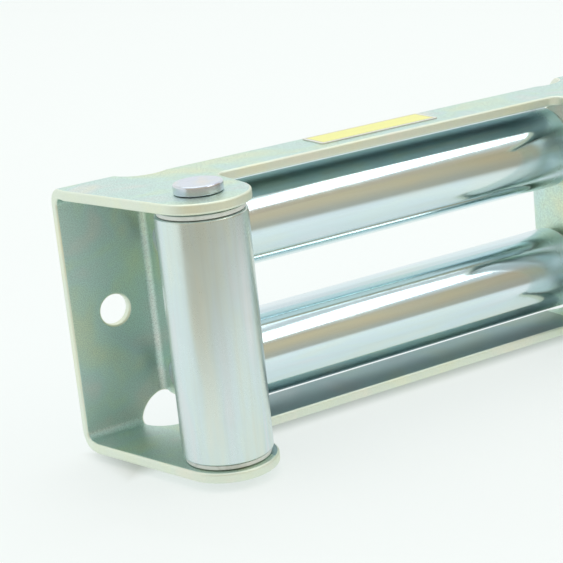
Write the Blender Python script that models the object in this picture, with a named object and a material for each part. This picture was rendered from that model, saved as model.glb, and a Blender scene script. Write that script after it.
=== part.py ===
"""Roller fairlead: one folded plate with four rollers that turn on headed pins.

Units are metres and +Z is up. The rope opening faces -Y, the mounting face is
at the rear, and X runs along the plate. The origin is the bottom centre of the
whole part, under the tails of the upright pins.
"""

import math

import bmesh
import bpy
from mathutils import Vector

# Folded plate
LENGTH = 0.296
HEIGHT = 0.1165
PLATE = 0.0045
BEND_INNER_RADIUS = 0.0035
NEUTRAL_FACTOR = 0.40
EDGE_BREAK = 0.0004

# Ears and the strips between them
EAR_REACH = 0.0650
EAR_RADIUS = 0.0210
EAR_FROM_END = 0.0360
SIDE_DEPTH = 0.0130
STRIP_REAR = 0.0150
STRIP_FRONT = 0.0412
STRIP_FILLET = 0.0050

# Window, tabs and relief holes
TAB_FROM_END = 0.0444
TAB_REACH = 0.0380
TAB_CORNER = 0.0090
TAB_INSET = 0.0160
RELIEF_RADIUS = 0.0130

# Bolt holes
BOLT_FROM_END = 0.0210
BOLT_HOLE = 0.0135

# Rollers
ROLLER_DIAMETER = 0.0380
ROLLER_WALL = 0.0030
ROLLER_CHAMFER = 0.0008
UPRIGHT_END_PLAY = 0.0013
LYING_END_PLAY = 0.0025
LYING_DEPTH = 0.0213
LYING_HEIGHT = 0.0283

# Bushes
BUSH_FLANGE = 0.0018
BUSH_FLANGE_DIAMETER = 0.0360
BUSH_LENGTH = 0.0160

# Pins
PIN_DIAMETER = 0.0127
PIN_HEAD_DIAMETER = 0.0204
PIN_HEAD_HEIGHT = 0.0040
PIN_HEAD_BEVEL = 0.0008
UPRIGHT_TAIL = 0.0036
UPRIGHT_TAIL_CHAMFER = 0.0008
LYING_TAIL = 0.0025
LYING_TAIL_CHAMFER = 0.0005

# Clips and their grooves
UPRIGHT_CLIP_THICKNESS = 0.0012
UPRIGHT_CLIP_DIAMETER = 0.0200
UPRIGHT_CLIP_RIM = 0.0026
LYING_CLIP_THICKNESS = 0.0008
LYING_CLIP_DIAMETER = 0.0147
LYING_CLIP_RIM = 0.0007
CLIP_EDGE = 0.00015
CLIP_MOUTH = math.radians(76)
CLIP_TOOTH = math.radians(30)
GROOVE_DEPTH = 0.0013

# Label
LABEL_LENGTH = 0.0620
LABEL_WIDTH = 0.0170
LABEL_THICKNESS = 0.0002
LABEL_EDGE = 0.00004
LABEL_OFFSET = -0.0023
LABEL_DEPTH = 0.0257
LABEL_CORNER = 0.0010

# Fits
TOUCH = 0.0003
RUNNING_FIT = 0.0003

# Facets
BEND_STEPS = 6
ROLLER_STEPS = 48
PIN_STEPS = 24
HOLE_STEPS = 24
RELIEF_STEPS = 30
EAR_STEPS = 28
FILLET_STEPS = 5
CLIP_STEPS = 20
TOOTH_STEPS = 3
GAP_STEPS = 5
LABEL_STEPS = 4
SHARP_ANGLE = math.radians(30)
CUT_TOLERANCE = 1e-7

# Sizes that follow from those above
BEND_OUTER_RADIUS = BEND_INNER_RADIUS + PLATE
BEND_LENGTH = math.pi / 2 * (BEND_INNER_RADIUS + NEUTRAL_FACTOR * PLATE)
BEND_SETBACK = 2 * BEND_OUTER_RADIUS - BEND_LENGTH
EAR_SPREAD = LENGTH / 2 - EAR_FROM_END
WINDOW_HALF = LENGTH / 2 - TAB_FROM_END
BOLT_SPREAD = LENGTH / 2 - BOLT_FROM_END
DEPTH = EAR_REACH + EAR_RADIUS
REAR = DEPTH / 2
BOTTOM = UPRIGHT_TAIL
TOP = BOTTOM + HEIGHT
PIN_RADIUS = PIN_DIAMETER / 2
PIN_HOLE_RADIUS = PIN_RADIUS + TOUCH
ROLLER_RADIUS = ROLLER_DIAMETER / 2
ROLLER_BORE_RADIUS = ROLLER_RADIUS - ROLLER_WALL
BUSH_ROOM = 2 * (BUSH_FLANGE + TOUCH)
UPRIGHT_LENGTH = HEIGHT - 2 * PLATE - UPRIGHT_END_PLAY - BUSH_ROOM
UPRIGHT_DROP = UPRIGHT_END_PLAY / 2 - RUNNING_FIT
UPRIGHT_GRIP = HEIGHT
LYING_LENGTH = 2 * WINDOW_HALF - LYING_END_PLAY - BUSH_ROOM
LYING_DROP = LYING_END_PLAY / 2 - RUNNING_FIT
LYING_GRIP = 2 * (WINDOW_HALF + PLATE)


# Flat outlines

def arc(centre, radius, start, end, steps):
    """Return points along a circle's arc, both ends included."""
    points = []
    for step in range(steps + 1):
        angle = start + (end - start) * step / steps
        points.append((centre[0] + radius * math.cos(angle), centre[1] + radius * math.sin(angle)))
    return points


def circle(centre, radius, steps):
    """Return the points of a whole circle, its first point not repeated."""
    return arc(centre, radius, 0.0, 2 * math.pi, steps)[:-1]


def signed_area(loop):
    """Return a loop's area, positive where it runs anticlockwise."""
    area = 0.0
    for (ax, ay), (bx, by) in zip(loop, loop[1:] + loop[:1]):
        area += (ax * by - bx * ay) / 2
    return area


def wound(loop, anticlockwise):
    """Return the loop running the way that is asked for."""
    if (signed_area(loop) > 0) == anticlockwise:
        return loop
    return loop[::-1]


def moved_left(loop, distance):
    """Return the loop with every side moved to its own left, corners kept sharp."""
    result = []
    count = len(loop)
    for index, point in enumerate(loop):
        before = Vector(point) - Vector(loop[index - 1])
        after = Vector(loop[(index + 1) % count]) - Vector(point)
        normal_before = Vector((-before.y, before.x)).normalized()
        normal_after = Vector((-after.y, after.x)).normalized()
        shift = (normal_before + normal_after) / (1 + normal_before.dot(normal_after))
        result.append(tuple(Vector(point) + distance * shift))
    return result


def four_fold(quarter, middle):
    """Mirror a quarter outline across X = 0 and across the height `middle`.

    The quarter runs from the lower middle (X = 0) to the side at half height.
    """
    right = quarter + [(x, 2 * middle - y) for x, y in quarter[-2::-1]]
    left = [(-x, y) for x, y in right[-2:0:-1]]
    return right + left


def flange_height(y):
    """Return the flat pattern's height of a point on the bottom flange at depth y."""
    return BEND_SETBACK - y


def tab_position(reach):
    """Return the flat pattern's X of a point on a tab that reaches this far forward."""
    return WINDOW_HALF + BEND_SETBACK - reach


def ear_quarter():
    """Return the blank's outer edge from the bottom strip's middle to the right side."""
    centre = (EAR_SPREAD, flange_height(EAR_REACH))
    inner = EAR_SPREAD - EAR_RADIUS
    strip = flange_height(STRIP_FRONT)
    side = LENGTH / 2
    shoulder = flange_height(SIDE_DEPTH)
    fillet_centre = (inner - STRIP_FILLET, strip - STRIP_FILLET)
    # The taper leaves the side's corner and runs on to the ear where it just touches it
    run = (side - centre[0], shoulder - centre[1])
    distance = math.hypot(*run)
    touch = math.atan2(run[1], run[0]) - math.acos(EAR_RADIUS / distance)
    points = [(0.0, strip)]
    points += arc(fillet_centre, STRIP_FILLET, math.pi / 2, 0.0, FILLET_STEPS)
    points += arc(centre, EAR_RADIUS, math.pi, 2 * math.pi + touch, EAR_STEPS)
    points += [(side, shoulder), (side, HEIGHT / 2)]
    return points


def window_quarter():
    """Return the window's edge from the bottom strip's middle to the right tab's end."""
    bend_middle = (WINDOW_HALF + BEND_OUTER_RADIUS - BEND_LENGTH / 2, BEND_OUTER_RADIUS - BEND_LENGTH / 2)
    strip = flange_height(STRIP_REAR)
    tip = tab_position(TAB_REACH)
    start = -math.pi / 2 - math.acos((bend_middle[1] - strip) / RELIEF_RADIUS)
    end = math.pi / 2 + math.acos((TAB_INSET - bend_middle[1]) / RELIEF_RADIUS)
    corner = (tip + TAB_CORNER, TAB_INSET + TAB_CORNER)
    points = [(0.0, strip)]
    points += arc(bend_middle, RELIEF_RADIUS, start, end, RELIEF_STEPS)
    points += arc(corner, TAB_CORNER, -math.pi / 2, -math.pi, FILLET_STEPS)
    points += [(tip, HEIGHT / 2)]
    return points


def hole_centres():
    """Return the flat pattern's centres of the eight pin holes, right side and left."""
    ear = (EAR_SPREAD, flange_height(EAR_REACH))
    tab = (tab_position(LYING_DEPTH), LYING_HEIGHT)
    centres = []
    for side in (-1, 1):
        for x, height in (ear, tab):
            centres += [(side * x, height), (side * x, HEIGHT - height)]
    return centres


# Solids from outlines

def face_outward(bm):
    """Turn every face of a closed solid to the outside."""
    bmesh.ops.recalc_face_normals(bm, faces=bm.faces)
    if bm.calc_volume(signed=True) < 0:
        bmesh.ops.reverse_faces(bm, faces=bm.faces)


def sheet(bm, outer, holes, thickness, edge_break):
    """Fill outlines as a sheet from Z = 0 up, its edges broken by a small bevel."""
    rims = []
    for loop, is_outer in [(outer, True)] + [(hole, False) for hole in holes]:
        full = wound(loop, is_outer)
        narrow = moved_left(full, edge_break)
        rows = []
        for points, z in ((narrow, 0.0), (full, edge_break), (full, thickness - edge_break),
                          (narrow, thickness)):
            rows.append([bm.verts.new((x, y, z)) for x, y in points])
        for lower, upper in zip(rows, rows[1:]):
            for index in range(len(full)):
                following = (index + 1) % len(full)
                bm.faces.new((lower[index], lower[following], upper[following], upper[index]))
        rims.append((rows[0], rows[-1]))
    for side in (0, 1):
        edges = []
        for rim in rims:
            row = rim[side]
            for index, vert in enumerate(row):
                edges.append(bm.edges.get((vert, row[(index + 1) % len(row)])))
        bmesh.ops.triangle_fill(bm, use_beauty=True, use_dissolve=False, edges=edges)
    face_outward(bm)


def cut_across(bm, faces, point, normal):
    """Cut faces along a plane and keep both sides."""
    edges = {edge for face in faces for edge in face.edges}
    verts = {vert for face in faces for vert in face.verts}
    bmesh.ops.bisect_plane(bm, geom=list(verts) + list(edges) + list(faces), dist=CUT_TOLERANCE,
                           plane_co=point, plane_no=normal)


def cut_bend_lines(bm):
    """Score the flat sheet along each bend, so that it folds in equal steps."""
    for step in range(BEND_STEPS + 1):
        offset = BEND_OUTER_RADIUS - BEND_LENGTH * step / BEND_STEPS
        for height in (offset, HEIGHT - offset):
            cut_across(bm, list(bm.faces), (0, height, 0), (0, 1, 0))
    for step in range(BEND_STEPS + 1):
        offset = WINDOW_HALF + BEND_OUTER_RADIUS - BEND_LENGTH * step / BEND_STEPS
        for x in (-offset, offset):
            near = [face for face in bm.faces if in_tab_rows(face.calc_center_median().y)]
            cut_across(bm, near, (x, 0, 0), (1, 0, 0))


def in_tab_rows(height):
    """Tell whether a flat height lies between a tab's lower and upper edges."""
    return TAB_INSET - EDGE_BREAK < height < HEIGHT - TAB_INSET + EDGE_BREAK


def bend(past, depth):
    """Fold a point that lies `past` the bend line, `depth` into the sheet.

    Returns how far it ends up short of the sheet's outer corner, and how far forward.
    """
    if past <= 0:
        return -past + BEND_OUTER_RADIUS, depth
    if past >= BEND_LENGTH:
        return depth, BEND_OUTER_RADIUS + past - BEND_LENGTH
    angle = math.pi / 2 * past / BEND_LENGTH
    radius = BEND_OUTER_RADIUS - depth
    return (BEND_OUTER_RADIUS - radius * math.sin(angle),
            BEND_OUTER_RADIUS - radius * math.cos(angle))


def folded(flat):
    """Return where a point of the flat sheet lies once flanges and tabs are folded.

    The folded plate has its rear face at Y = 0 and its bottom at Z = 0.
    """
    x, height, depth = flat
    side = math.copysign(1.0, x)
    if abs(x) < WINDOW_HALF + BEND_OUTER_RADIUS and in_tab_rows(height):
        across, forward = bend(WINDOW_HALF + BEND_OUTER_RADIUS - abs(x), depth)
        return Vector((side * (WINDOW_HALF + across), -forward, height))
    if height < HEIGHT / 2:
        up, forward = bend(BEND_OUTER_RADIUS - height, depth)
        return Vector((x, -forward, up))
    down, forward = bend(height - (HEIGHT - BEND_OUTER_RADIUS), depth)
    return Vector((x, -forward, HEIGHT - down))


# Objects

def finished_object(name, bm, material, location, rotation=(0.0, 0.0, 0.0)):
    """Turn a bmesh into a placed object with smooth round faces and sharp edges."""
    mesh = bpy.data.meshes.new(name)
    bm.to_mesh(mesh)
    bm.free()
    mesh.shade_smooth()
    mesh.set_sharp_from_angle(angle=SHARP_ANGLE)
    mesh.materials.append(material)
    piece = bpy.data.objects.new(name, mesh)
    piece.location = location
    piece.rotation_euler = rotation
    bpy.context.collection.objects.link(piece)
    return piece


def turned(profile, steps, bored):
    """Spin a profile of (radius, height) points about Z into a solid.

    A bored piece has a closed profile. A full one has a profile that is open at
    the axis, and flat discs close its ends.
    """
    bm = bmesh.new()
    verts = [bm.verts.new((radius, 0.0, height)) for radius, height in profile]
    edges = [bm.edges.new(pair) for pair in zip(verts, verts[1:])]
    if bored:
        edges.append(bm.edges.new((verts[-1], verts[0])))
    bmesh.ops.spin(bm, geom=verts + edges, cent=(0, 0, 0), axis=(0, 0, 1), dvec=(0, 0, 0),
                   angle=2 * math.pi, steps=steps, use_merge=True, use_duplicate=False)
    if not bored:
        rims = [edge for edge in bm.edges if edge.is_boundary]
        bmesh.ops.holes_fill(bm, edges=rims, sides=steps)
    face_outward(bm)
    return bm


def frame():
    """Make the folded plate from its flat blank."""
    bm = bmesh.new()
    holes = [four_fold(window_quarter(), HEIGHT / 2)]
    holes += [circle(centre, PIN_HOLE_RADIUS, HOLE_STEPS) for centre in hole_centres()]
    for side in (-1, 1):
        holes.append(circle((side * BOLT_SPREAD, HEIGHT / 2), BOLT_HOLE / 2, HOLE_STEPS))
    sheet(bm, four_fold(ear_quarter(), HEIGHT / 2), holes, PLATE, EDGE_BREAK)
    cut_bend_lines(bm)
    for vert in bm.verts:
        vert.co = folded(vert.co)
    return finished_object("frame", bm, zinc_plate(), (0.0, REAR, BOTTOM))


def roller(name, length, drop, axle):
    """Make a roller tube with chamfered ends, resting `drop` towards the pin's tail."""
    half = length / 2
    upper = [
        (ROLLER_RADIUS, half - ROLLER_CHAMFER),
        (ROLLER_RADIUS - ROLLER_CHAMFER, half),
        (ROLLER_BORE_RADIUS, half),
    ]
    lower = [(radius, -height) for radius, height in reversed(upper)]
    solid = turned(upper + lower, ROLLER_STEPS, True)
    piece = finished_object(name, solid, polished_steel(), (0, 0, -drop))
    piece.parent = axle


def bush(name, roller_length, drop, end, axle):
    """Make a flanged bush, its flange against one end of the roller tube."""
    face = roller_length / 2 + TOUCH + BUSH_FLANGE
    bore = PIN_RADIUS + RUNNING_FIT
    body = ROLLER_BORE_RADIUS - TOUCH
    flange = BUSH_FLANGE_DIAMETER / 2
    profile = [
        (flange, 0.0),
        (flange, -BUSH_FLANGE),
        (body, -BUSH_FLANGE),
        (body, -BUSH_LENGTH),
        (bore, -BUSH_LENGTH),
        (bore, 0.0),
    ]
    turn = (0.0, 0.0, 0.0) if end > 0 else (math.pi, 0.0, 0.0)
    place = (0, 0, end * face - drop)
    piece = finished_object(name, turned(profile, PIN_STEPS, True), grey_nylon(), place, turn)
    piece.parent = axle


def pin(name, grip, tail_length, tail_chamfer, clip_thickness, axle):
    """Make a headed pin with a clip groove at its tail, for plates `grip` apart outside."""
    seat = grip / 2 + TOUCH
    head = PIN_HEAD_DIAMETER / 2
    groove = PIN_RADIUS - GROOVE_DEPTH
    groove_end = -grip / 2 - clip_thickness - 2 * TOUCH
    tail = -grip / 2 - tail_length
    profile = [
        (head - PIN_HEAD_BEVEL, seat + PIN_HEAD_HEIGHT),
        (head, seat + PIN_HEAD_HEIGHT - PIN_HEAD_BEVEL),
        (head, seat),
        (PIN_RADIUS, seat),
        (PIN_RADIUS, -grip / 2),
        (groove, -grip / 2),
        (groove, groove_end),
        (PIN_RADIUS, groove_end),
        (PIN_RADIUS, tail + tail_chamfer),
        (PIN_RADIUS - tail_chamfer, tail),
    ]
    piece = finished_object(name, turned(profile, PIN_STEPS, False), pin_steel(), (0, 0, 0))
    piece.parent = axle


def clip_outline(diameter, rim):
    """Return a retaining clip's outline: a ring with a mouth and three inner teeth."""
    outer = diameter / 2
    inner = outer - rim
    tooth = PIN_RADIUS - GROOVE_DEPTH + TOUCH
    start = CLIP_MOUTH / 2
    end = 2 * math.pi - start
    between = (end - start - 3 * CLIP_TOOTH) / 2
    points = arc((0, 0), outer, start, end, CLIP_STEPS)
    angle = end
    for index in range(3):
        points += arc((0, 0), tooth, angle, angle - CLIP_TOOTH, TOOTH_STEPS)
        angle -= CLIP_TOOTH
        if index < 2:
            points += arc((0, 0), inner, angle, angle - between, GAP_STEPS)
            angle -= between
    return points


def clip(name, grip, diameter, rim, thickness, axle):
    """Make the retaining clip that sits in a pin's groove, outside the plate."""
    bm = bmesh.new()
    sheet(bm, clip_outline(diameter, rim), [], thickness, CLIP_EDGE)
    place = (0, 0, -grip / 2 - TOUCH - thickness)
    piece = finished_object(name, bm, spring_steel(), place)
    piece.parent = axle


def label():
    """Make the blank sticker on the top strip."""
    half_length = LABEL_LENGTH / 2 - LABEL_CORNER
    half_width = LABEL_WIDTH / 2 - LABEL_CORNER
    outline = []
    for quarter, (x, y) in enumerate(((1, 1), (-1, 1), (-1, -1), (1, -1))):
        start = quarter * math.pi / 2
        corner = (x * half_length, y * half_width)
        outline += arc(corner, LABEL_CORNER, start, start + math.pi / 2, LABEL_STEPS)
    bm = bmesh.new()
    sheet(bm, outline, [], LABEL_THICKNESS, LABEL_EDGE)
    finished_object("blank_label", bm, label_yellow(), (LABEL_OFFSET, REAR - LABEL_DEPTH, TOP + TOUCH))


def axle(name, location, rotation):
    """Place an empty on a roller's axis, its Z along the pin and towards the head."""
    empty = bpy.data.objects.new(name + "_axle", None)
    empty.location = location
    empty.rotation_euler = rotation
    bpy.context.collection.objects.link(empty)
    return empty


def upright_set(name, side):
    """Make one upright roller with its pin, clip and bushes, between a pair of ears."""
    place = (side * EAR_SPREAD, REAR - EAR_REACH, BOTTOM + HEIGHT / 2)
    parent = axle(name, place, (0.0, 0.0, 0.0))
    roller(name + "_roller", UPRIGHT_LENGTH, UPRIGHT_DROP, parent)
    pin(name + "_pin", UPRIGHT_GRIP, UPRIGHT_TAIL, UPRIGHT_TAIL_CHAMFER, UPRIGHT_CLIP_THICKNESS, parent)
    clip(name + "_clip", UPRIGHT_GRIP, UPRIGHT_CLIP_DIAMETER, UPRIGHT_CLIP_RIM, UPRIGHT_CLIP_THICKNESS,
         parent)
    for end, word in ((1, "top"), (-1, "bottom")):
        bush(f"{name}_{word}_bush", UPRIGHT_LENGTH, UPRIGHT_DROP, end, parent)


def lying_set(name, height):
    """Make one lying roller with its pin, clip and bushes, between the tabs."""
    place = (0.0, REAR - LYING_DEPTH, height)
    parent = axle(name, place, (0.0, math.pi / 2, 0.0))
    roller(name + "_roller", LYING_LENGTH, LYING_DROP, parent)
    pin(name + "_pin", LYING_GRIP, LYING_TAIL, LYING_TAIL_CHAMFER, LYING_CLIP_THICKNESS, parent)
    clip(name + "_clip", LYING_GRIP, LYING_CLIP_DIAMETER, LYING_CLIP_RIM, LYING_CLIP_THICKNESS, parent)
    for end, word in ((1, "right"), (-1, "left")):
        bush(f"{name}_{word}_bush", LYING_LENGTH, LYING_DROP, end, parent)


# Materials

def plain_material(name, colour, roughness, metallic):
    """Return a material with one Principled BSDF, made once and then shared."""
    material = bpy.data.materials.get(name) or bpy.data.materials.new(name)
    material.use_nodes = True
    shader = material.node_tree.nodes["Principled BSDF"]
    shader.inputs["Base Color"].default_value = (*colour, 1.0)
    shader.inputs["Roughness"].default_value = roughness
    shader.inputs["Metallic"].default_value = metallic
    return material


def zinc_plate():
    """Return the frame's dull greenish zinc plating."""
    return plain_material("zinc_plate", (0.58, 0.63, 0.58), 0.36, 1.0)


def polished_steel():
    """Return the rollers' bright plating."""
    return plain_material("polished_steel", (0.72, 0.75, 0.76), 0.14, 1.0)


def pin_steel():
    """Return the pins' pale plating."""
    return plain_material("pin_steel", (0.70, 0.68, 0.74), 0.26, 1.0)


def spring_steel():
    """Return the clips' dark spring steel."""
    return plain_material("spring_steel", (0.12, 0.12, 0.13), 0.38, 1.0)


def grey_nylon():
    """Return the bushes' pale grey nylon."""
    return plain_material("grey_nylon", (0.45, 0.48, 0.46), 0.45, 0.0)


def label_yellow():
    """Return the sticker's yellow film."""
    return plain_material("label_yellow", (0.82, 0.76, 0.16), 0.35, 0.0)


def clear_scene():
    """Remove every object that the scene starts with."""
    for existing in list(bpy.data.objects):
        bpy.data.objects.remove(existing, do_unlink=True)


def main():
    """Build the whole fairlead."""
    clear_scene()
    frame()
    lying_set("upper", TOP - LYING_HEIGHT)
    lying_set("lower", BOTTOM + LYING_HEIGHT)
    upright_set("left", -1)
    upright_set("right", 1)
    label()


main()
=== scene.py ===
"""Roller fairlead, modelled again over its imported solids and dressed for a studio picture.

A folded zinc-plated plate carries four rollers on headed pins: two lying across the
rope opening and one upright at each side. Every piece below stands for a solid of the
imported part, keeps that solid's place, and rides on the same body.
"""

from __future__ import annotations

import logging
import math
from collections.abc import Callable, Iterator, Sequence
from contextlib import contextmanager
from dataclasses import dataclass
from enum import Enum
from typing import ClassVar

import bmesh
import bpy
from mathutils import Matrix, Vector


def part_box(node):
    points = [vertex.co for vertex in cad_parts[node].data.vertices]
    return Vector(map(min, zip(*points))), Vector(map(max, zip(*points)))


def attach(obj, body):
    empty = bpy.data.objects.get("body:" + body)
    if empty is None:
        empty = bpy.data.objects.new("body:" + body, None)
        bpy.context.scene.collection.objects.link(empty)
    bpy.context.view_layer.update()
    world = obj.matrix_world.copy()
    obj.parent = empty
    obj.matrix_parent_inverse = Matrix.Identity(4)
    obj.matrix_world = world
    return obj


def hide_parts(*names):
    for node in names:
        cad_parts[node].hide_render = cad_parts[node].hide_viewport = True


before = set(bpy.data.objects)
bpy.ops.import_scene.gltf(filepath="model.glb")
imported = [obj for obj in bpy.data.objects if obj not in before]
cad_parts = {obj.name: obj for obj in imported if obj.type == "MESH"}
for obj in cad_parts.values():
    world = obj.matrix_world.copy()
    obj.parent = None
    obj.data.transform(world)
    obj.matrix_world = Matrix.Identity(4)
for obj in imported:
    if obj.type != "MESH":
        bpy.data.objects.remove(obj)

LOG = logging.getLogger("fairlead")
Point = tuple[float, float]
Colour = tuple[float, float, float]
Socket = bpy.types.NodeSocket
Node = bpy.types.Node
Tree = bpy.types.NodeTree
Material = bpy.types.Material
Piece = bpy.types.Object
Place = tuple[float, float, float]

# How far each roller rests from its pin's middle, towards the pin's tail
LYING_DROP = 0.00095
UPRIGHT_DROP = 0.00035

# Points of a blank that are closer than this become one
WELD = 2e-6

# How edges are rounded, and up to which angle in degrees faces are shaded as one
ROUNDING_STEPS = 2
SMOOTH_UP_TO = 40.0
FLAT_FACE_WEIGHT = 60


class Axis(Enum):
    """The way a roller or a pin lies."""

    ACROSS = "lying across the opening, along X"
    UPRIGHT = "standing between the ears, along Z"


class Surface(Enum):
    """The places on the folded plate that have their own material slot."""

    ROLLED = 0
    SHEARED = 1
    # The flanges' inner faces along the rollers, painted darker and bluer as shade
    CHANNEL_PAINTED_SHADE = 2


# Tools of the modelling bench


def deselect_everything() -> None:
    """Leave no object selected."""
    bpy.ops.object.select_all(action="DESELECT")


def link_to_scene(item: Piece) -> None:
    """Bring a new object into the scene."""
    bpy.context.scene.collection.objects.link(item)


def make_active(piece: Piece) -> None:
    """Select one object alone and make it the active one."""
    deselect_everything()
    piece.select_set(True)
    bpy.context.view_layer.objects.active = piece


@contextmanager
def editing(piece: Piece) -> Iterator[None]:
    """Open a piece in edit mode with nothing selected, and leave edit mode after.

    Args:
        piece: The mesh object to edit.
    """
    make_active(piece)
    bpy.ops.object.mode_set(mode="EDIT")
    bpy.ops.mesh.select_all(action="DESELECT")
    yield
    bpy.ops.object.mode_set(mode="OBJECT")


def select_whole() -> None:
    """Select all of the piece that is open in edit mode."""
    bpy.ops.mesh.select_all(action="SELECT")


def pick(piece: Piece, kind: str, wanted: Callable[..., bool]) -> None:
    """Select the vertices, edges or faces that pass a test, in edit mode.

    Args:
        piece: The piece that is open in edit mode.
        kind: "VERT", "EDGE" or "FACE".
        wanted: Tells whether one element is wanted.
    """
    bpy.ops.mesh.select_mode(type=kind)
    bpy.ops.mesh.select_all(action="DESELECT")
    mesh = bmesh.from_edit_mesh(piece.data)
    pool = {"VERT": mesh.verts, "EDGE": mesh.edges, "FACE": mesh.faces}[kind]
    for element in pool:
        if wanted(element):
            element.select_set(True)
    mesh.select_flush_mode()
    bmesh.update_edit_mesh(piece.data)


def finish_with(piece: Piece, kind: str, **settings: object) -> None:
    """Add a modifier to a piece, set it and apply it.

    Args:
        piece: The piece to finish.
        kind: The modifier's type.
        **settings: Values of the modifier's own properties.
    """
    make_active(piece)
    modifier = piece.modifiers.new(kind.lower(), kind)
    for name, value in settings.items():
        setattr(modifier, name, value)
    bpy.ops.object.modifier_apply(modifier=modifier.name)


def smooth(piece: Piece) -> None:
    """Smooth a piece's shading, its flat faces kept flat."""
    make_active(piece)
    bpy.ops.object.shade_smooth_by_angle(angle=math.radians(SMOOTH_UP_TO))
    finish_with(piece, "WEIGHTED_NORMAL", keep_sharp=True, weight=FLAT_FACE_WEIGHT)


def round_edges(piece: Piece, width: float, angle: float) -> None:
    """Round a piece's hard edges and smooth its shading.

    Args:
        piece: The piece to round.
        width: The bevel's width.
        angle: The least angle between faces, in degrees, that makes an edge hard.
    """
    finish_with(piece, "BEVEL", width=width, segments=ROUNDING_STEPS, limit_method="ANGLE",
                angle_limit=math.radians(angle), use_clamp_overlap=False)
    smooth(piece)


def settle(piece: Piece) -> None:
    """Put a piece's place, turn and scale into its mesh."""
    make_active(piece)
    bpy.ops.object.transform_apply(location=True, rotation=True, scale=True)


def copied(model: Piece, name: str) -> Piece:
    """Copy a finished piece with a mesh of its own.

    Args:
        model: The piece that is copied.
        name: The copy's name.

    Returns:
        The copy, in the same place.
    """
    twin = model.copy()
    twin.data = model.data.copy()
    twin.name = name
    twin.data.name = name
    link_to_scene(twin)
    return twin


def ring_of_edges(name: str, radius: float, height: float, steps: int) -> Piece:
    """Start a piece as one ring of edges about Z.

    Args:
        name: The piece's name.
        radius: The ring's radius.
        height: The ring's height.
        steps: How many sides it has.

    Returns:
        The new piece, selected and active.
    """
    deselect_everything()
    bpy.ops.mesh.primitive_circle_add(vertices=steps, radius=radius, fill_type="NOTHING",
                                      location=(0.0, 0.0, height))
    piece = bpy.context.object
    piece.name = name
    piece.data.name = name
    settle(piece)
    return piece


def carry_on(rings: Sequence[Point]) -> None:
    """Extrude the first ring through all the others, in edit mode.

    Args:
        rings: (radius, height) of each ring. The open mesh is the first of them.
    """
    bpy.ops.mesh.select_mode(type="EDGE")
    select_whole()
    for (radius, height), (next_radius, next_height) in zip(rings, rings[1:]):
        rise = (0.0, 0.0, next_height - height)
        bpy.ops.mesh.extrude_region_move(TRANSFORM_OT_translate={"value": rise})
        share = next_radius / radius
        bpy.ops.transform.resize(value=(share, share, 1.0),
                                 center_override=(0.0, 0.0, next_height))


def turned(name: str, rings: Sequence[Point], steps: int, bored: bool) -> Piece:
    """Turn a piece about Z, ring by ring, as on a lathe.

    Args:
        name: The piece's name.
        rings: (radius, height) of each ring, along the outside and then down the bore.
        steps: How many sides the rings have.
        bored: Whether the last ring meets the first. If not, flat ends close the piece.

    Returns:
        The turned piece.
    """
    piece = ring_of_edges(name, *rings[0], steps)
    with editing(piece):
        carry_on(rings)
        pick(piece, "EDGE", lambda edge: edge.is_boundary)
        if bored:
            bpy.ops.mesh.bridge_edge_loops()
        else:
            bpy.ops.mesh.fill_holes(sides=steps)
        select_whole()
        bpy.ops.mesh.normals_make_consistent(inside=False)
    return piece


def arc(centre: Point, radius: float, start: float, end: float, steps: int) -> list[Point]:
    """Return the points of an arc, both ends included.

    Args:
        centre: The arc's centre.
        radius: Its radius.
        start: The angle it starts at.
        end: The angle it ends at.
        steps: How many parts it has.

    Returns:
        The arc's points in order.
    """
    turns = [start + (end - start) * step / steps for step in range(steps + 1)]
    return [(centre[0] + radius * math.cos(turn), centre[1] + radius * math.sin(turn))
            for turn in turns]


def cut_blank(name: str, outlines: Sequence[Sequence[Point]], thickness: float, rounding: float,
              segments: int) -> Piece:
    """Cut a flat blank with rounded edges: the first outline is its edge, the others are holes.

    Args:
        name: The blank's name.
        outlines: Closed outlines in the flat, as (x, y).
        thickness: The blank's thickness.
        rounding: The radius of its edges.
        segments: How finely the edges are rounded.

    Returns:
        The blank as a closed mesh, its mid-plane at Z = 0.
    """
    curve = bpy.data.curves.new(name, "CURVE")
    curve.dimensions = "2D"
    curve.fill_mode = "BOTH"
    curve.extrude = thickness / 2 - rounding
    curve.bevel_depth = rounding
    curve.bevel_resolution = segments
    curve.offset = -rounding
    for outline in outlines:
        spline = curve.splines.new("POLY")
        spline.points.add(len(outline) - 1)
        for point, (x, y) in zip(spline.points, outline):
            point.co = (x, y, 0.0, 1.0)
        spline.use_cyclic_u = True
    blank = bpy.data.objects.new(name, curve)
    link_to_scene(blank)
    make_active(blank)
    bpy.ops.object.convert(target="MESH")
    blank = bpy.context.object
    blank.data.name = name
    with editing(blank):
        select_whole()
        bpy.ops.mesh.remove_doubles(threshold=WELD)
        bpy.ops.mesh.normals_make_consistent(inside=False)
    return blank


def laid_at(piece: Piece, place: Sequence[float]) -> Piece:
    """Move a flat piece to its place, settle it there, smooth it and return it."""
    piece.location = place
    settle(piece)
    smooth(piece)
    return piece


def hand_over(piece: Piece, node: str, body: str) -> None:
    """Let a finished piece stand for its solid and ride on that solid's body.

    Args:
        piece: The finished piece.
        node: The solid that it stands for.
        body: The body that it rides on.
    """
    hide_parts(node)
    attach(piece, body)
    LOG.info("%s: %d faces, rides on %s", piece.name, len(piece.data.polygons), body)


# Finishes


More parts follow.
